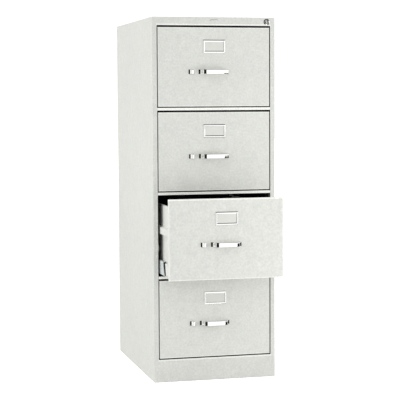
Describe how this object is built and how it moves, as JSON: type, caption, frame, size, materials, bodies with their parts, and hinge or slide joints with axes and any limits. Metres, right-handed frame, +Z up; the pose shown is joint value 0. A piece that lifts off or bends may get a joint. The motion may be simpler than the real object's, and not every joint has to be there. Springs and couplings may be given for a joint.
{
  "type": "filing cabinet",
  "caption": "Tall steel office filing cabinet with pull-out file drawers, bow handles, thumb latches, label holders and a key lock; one drawer is part open.",
  "frame": {"origin": "on the floor at the centre of the case's footprint, with the open drawer left out of that footprint", "axes": "+Z up; -Y towards someone who stands in front and opens the drawers; +X to that person's right"},
  "size_m": [0.4572, 0.8683, 1.3208],
  "materials": {
    "light_grey_paint": "satin light-grey enamel with a very fine texture",
    "charcoal_primer": "matt dark primer",
    "zinc_plated_steel": "bright zinc plate, slightly blue",
    "bright_chrome": "polished"
  },
  "bodies": {
    "case": {"side_panel_left": "light_grey_paint", "side_panel_right": "light_grey_paint", "back_panel": "light_grey_paint", "top_panel": "light_grey_paint", "base_plinth": "light_grey_paint", "base_brace": "charcoal_primer", "cross_rail_1": "light_grey_paint", "cross_rail_2": "light_grey_paint", "cross_rail_3": "light_grey_paint", "front_upright_left": "charcoal_primer", "front_upright_right": "charcoal_primer", "rear_upright_left": "charcoal_primer", "rear_upright_right": "charcoal_primer", "case_slide_left_1": "zinc_plated_steel", "case_slide_left_2": "zinc_plated_steel", "case_slide_left_3": "zinc_plated_steel", "case_slide_left_4": "zinc_plated_steel", "case_slide_right_1": "zinc_plated_steel", "case_slide_right_2": "zinc_plated_steel", "case_slide_right_3": "zinc_plated_steel", "case_slide_right_4": "zinc_plated_steel", "lock_housing": "bright_chrome"},
    "drawer_1": {"drawer_front_1": "light_grey_paint", "drawer_body_1": "light_grey_paint", "label_holder_1": "bright_chrome", "pull_1": "bright_chrome"},
    "mid_slides_1": {"mid_slide_left_1": "zinc_plated_steel", "mid_slide_right_1": "zinc_plated_steel"},
    "latch_1": {"thumb_latch_1": "bright_chrome", "latch_bolt_1": "zinc_plated_steel"},
    "follower_plate_1": {"follower_1": "charcoal_primer"},
    "drawer_2": {"drawer_front_2": "light_grey_paint", "drawer_body_2": "light_grey_paint", "label_holder_2": "bright_chrome", "pull_2": "bright_chrome"},
    "mid_slides_2": {"mid_slide_left_2": "zinc_plated_steel", "mid_slide_right_2": "zinc_plated_steel"},
    "latch_2": {"thumb_latch_2": "bright_chrome", "latch_bolt_2": "zinc_plated_steel"},
    "follower_plate_2": {"follower_2": "charcoal_primer"},
    "drawer_3": {"drawer_front_3": "light_grey_paint", "drawer_body_3": "light_grey_paint", "label_holder_3": "bright_chrome", "pull_3": "bright_chrome"},
    "mid_slides_3": {"mid_slide_left_3": "zinc_plated_steel", "mid_slide_right_3": "zinc_plated_steel"},
    "latch_3": {"thumb_latch_3": "bright_chrome", "latch_bolt_3": "zinc_plated_steel"},
    "follower_plate_3": {"follower_3": "charcoal_primer"},
    "drawer_4": {"drawer_front_4": "light_grey_paint", "drawer_body_4": "light_grey_paint", "label_holder_4": "bright_chrome", "pull_4": "bright_chrome"},
    "mid_slides_4": {"mid_slide_left_4": "zinc_plated_steel", "mid_slide_right_4": "zinc_plated_steel"},
    "latch_4": {"thumb_latch_4": "bright_chrome", "latch_bolt_4": "zinc_plated_steel"},
    "follower_plate_4": {"follower_4": "charcoal_primer"},
    "lock_plug": {"lock_plug": "bright_chrome"},
    "lock_bar": {"lock_bar": "zinc_plated_steel"}
  },
  "joints": [
    {"name": "drawer_1_slide", "type": "slide", "parent": "case", "child": "drawer_1", "axis": [0, -1, 0], "range_m": [0, 0.6]},
    {"name": "mid_slides_1_slide", "type": "slide", "parent": "case", "child": "mid_slides_1", "axis": [0, -1, 0], "range_m": [0, 0.3]},
    {"name": "latch_1_slide", "type": "slide", "parent": "drawer_1", "child": "latch_1", "axis": [1, 0, 0], "range_m": [0, 0.005], "stiffness_N_per_m": 400, "springref_m": -0.004},
    {"name": "follower_1_slide", "type": "slide", "parent": "drawer_1", "child": "follower_plate_1", "axis": [0, -1, 0], "range_m": [0, 0.49]},
    {"name": "drawer_2_slide", "type": "slide", "parent": "case", "child": "drawer_2", "axis": [0, -1, 0], "range_m": [0, 0.6]},
    {"name": "mid_slides_2_slide", "type": "slide", "parent": "case", "child": "mid_slides_2", "axis": [0, -1, 0], "range_m": [0, 0.3]},
    {"name": "latch_2_slide", "type": "slide", "parent": "drawer_2", "child": "latch_2", "axis": [1, 0, 0], "range_m": [0, 0.005], "stiffness_N_per_m": 400, "springref_m": -0.004},
    {"name": "follower_2_slide", "type": "slide", "parent": "drawer_2", "child": "follower_plate_2", "axis": [0, -1, 0], "range_m": [0, 0.49]},
    {"name": "drawer_3_slide", "type": "slide", "parent": "case", "child": "drawer_3", "axis": [0, -1, 0], "range_m": [-0.166, 0.434]},
    {"name": "mid_slides_3_slide", "type": "slide", "parent": "case", "child": "mid_slides_3", "axis": [0, -1, 0], "range_m": [-0.083, 0.217]},
    {"name": "latch_3_slide", "type": "slide", "parent": "drawer_3", "child": "latch_3", "axis": [1, 0, 0], "range_m": [0, 0.005], "stiffness_N_per_m": 400, "springref_m": -0.004},
    {"name": "follower_3_slide", "type": "slide", "parent": "drawer_3", "child": "follower_plate_3", "axis": [0, -1, 0], "range_m": [0, 0.49]},
    {"name": "drawer_4_slide", "type": "slide", "parent": "case", "child": "drawer_4", "axis": [0, -1, 0], "range_m": [0, 0.6]},
    {"name": "mid_slides_4_slide", "type": "slide", "parent": "case", "child": "mid_slides_4", "axis": [0, -1, 0], "range_m": [0, 0.3]},
    {"name": "latch_4_slide", "type": "slide", "parent": "drawer_4", "child": "latch_4", "axis": [1, 0, 0], "range_m": [0, 0.005], "stiffness_N_per_m": 400, "springref_m": -0.004},
    {"name": "follower_4_slide", "type": "slide", "parent": "drawer_4", "child": "follower_plate_4", "axis": [0, -1, 0], "range_m": [0, 0.49]},
    {"name": "lock_turn", "type": "hinge", "parent": "case", "child": "lock_plug", "pos_m": [0.198, -0.33655, 1.3046], "axis": [0, 1, 0], "range_deg": [0, 90]},
    {"name": "lock_bar_slide", "type": "slide", "parent": "case", "child": "lock_bar", "axis": [0, 0, -1], "range_m": [0, 0.0127]}
  ],
  "couplings": [
    {"joint": "mid_slides_1_slide", "follows": "drawer_1_slide", "ratio": 0.5},
    {"joint": "mid_slides_2_slide", "follows": "drawer_2_slide", "ratio": 0.5},
    {"joint": "mid_slides_3_slide", "follows": "drawer_3_slide", "ratio": 0.5},
    {"joint": "mid_slides_4_slide", "follows": "drawer_4_slide", "ratio": 0.5},
    {"joint": "lock_turn", "follows": "lock_bar_slide", "rad_per_m": 123.46}
  ]
}
